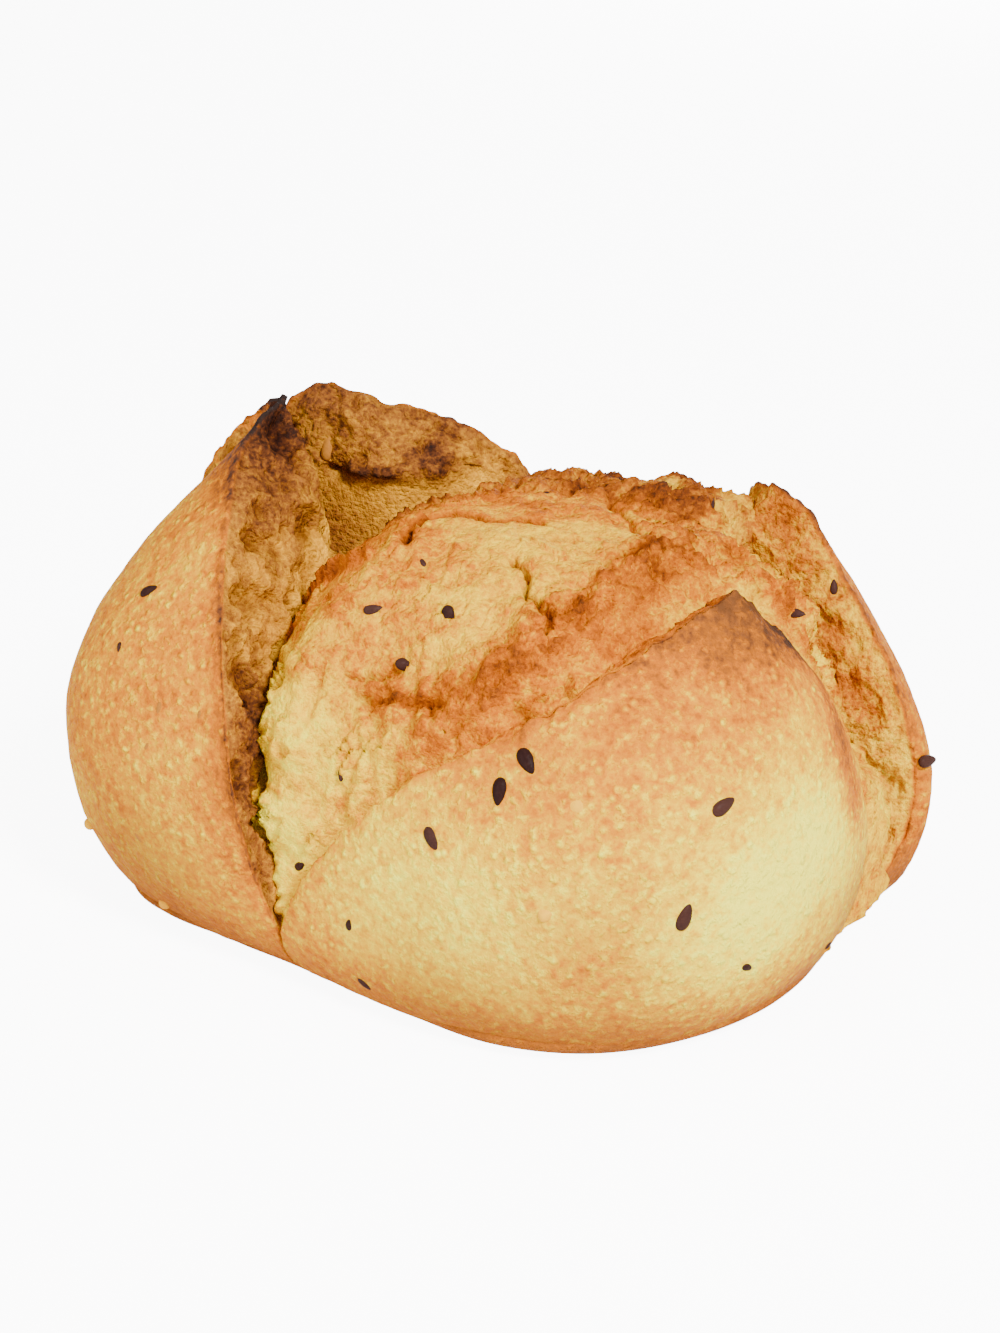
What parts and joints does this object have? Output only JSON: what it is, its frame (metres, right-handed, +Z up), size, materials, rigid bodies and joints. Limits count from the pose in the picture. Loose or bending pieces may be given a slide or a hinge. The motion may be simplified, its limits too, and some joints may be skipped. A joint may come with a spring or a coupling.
{
  "type": "multigrain bread",
  "caption": "Small round loaf of seeded bread with a burst cross-cut crust, four standing crust flaps and a domed crumb.",
  "frame": {"origin": "centre of the loaf's footprint on the surface it rests on", "axes": "+X along the loaf's longer side, +Z up from the flat base, -Y towards the side of the big front flap"},
  "size_m": [0.1545, 0.1223, 0.085],
  "materials": {
    "crust": "matte baked crust, golden to brown",
    "crumb": "matte open crumb, cream to toasted orange",
    "flax_seed": "satin dark seed hull",
    "pale_seed": "matte pale grain"
  },
  "bodies": {
    "root": {"loaf": "crust"}
  },
  "joints": []
}
